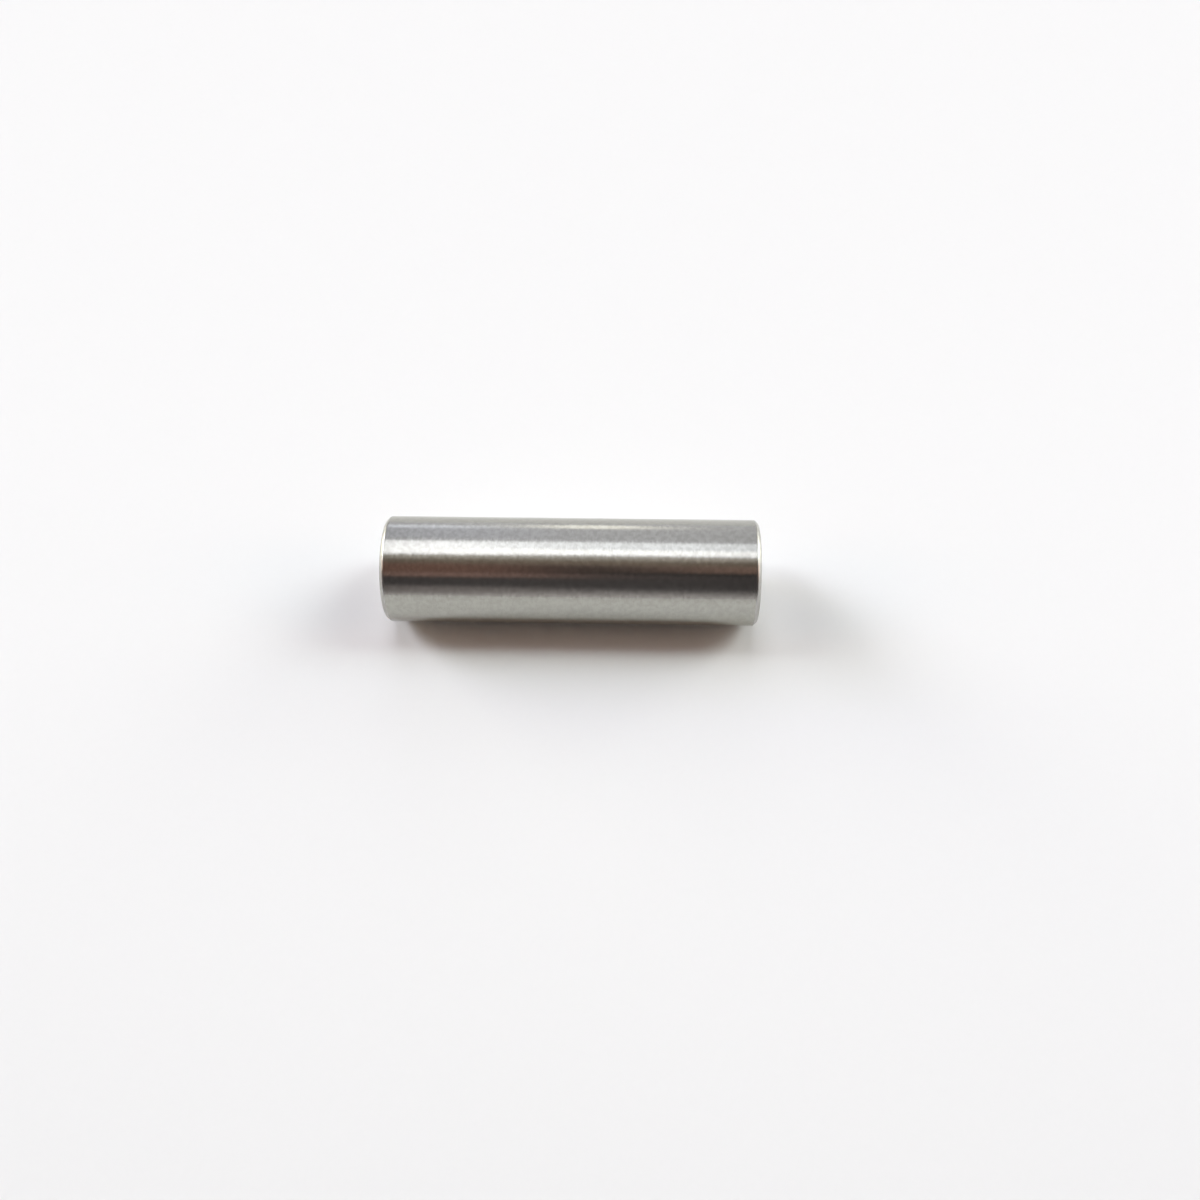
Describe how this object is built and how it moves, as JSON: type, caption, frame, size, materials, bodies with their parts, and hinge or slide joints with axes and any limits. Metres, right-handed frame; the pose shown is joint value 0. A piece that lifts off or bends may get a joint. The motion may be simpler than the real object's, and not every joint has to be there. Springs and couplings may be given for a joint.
{
  "type": "piston pin",
  "caption": "Hollow ground steel pin that joins a small piston to its connecting rod, bored right through, with chamfered ends.",
  "frame": {"origin": "centre of the lower end face, which the pin stands on", "axes": "+Z along the pin's axis, from the lower end face to the upper one; X and Y are any two directions across the pin"},
  "size_m": [0.01, 0.01, 0.035],
  "materials": {
    "ground_steel": "ground and polished"
  },
  "bodies": {
    "root": {"piston_pin": "ground_steel"}
  },
  "joints": []
}
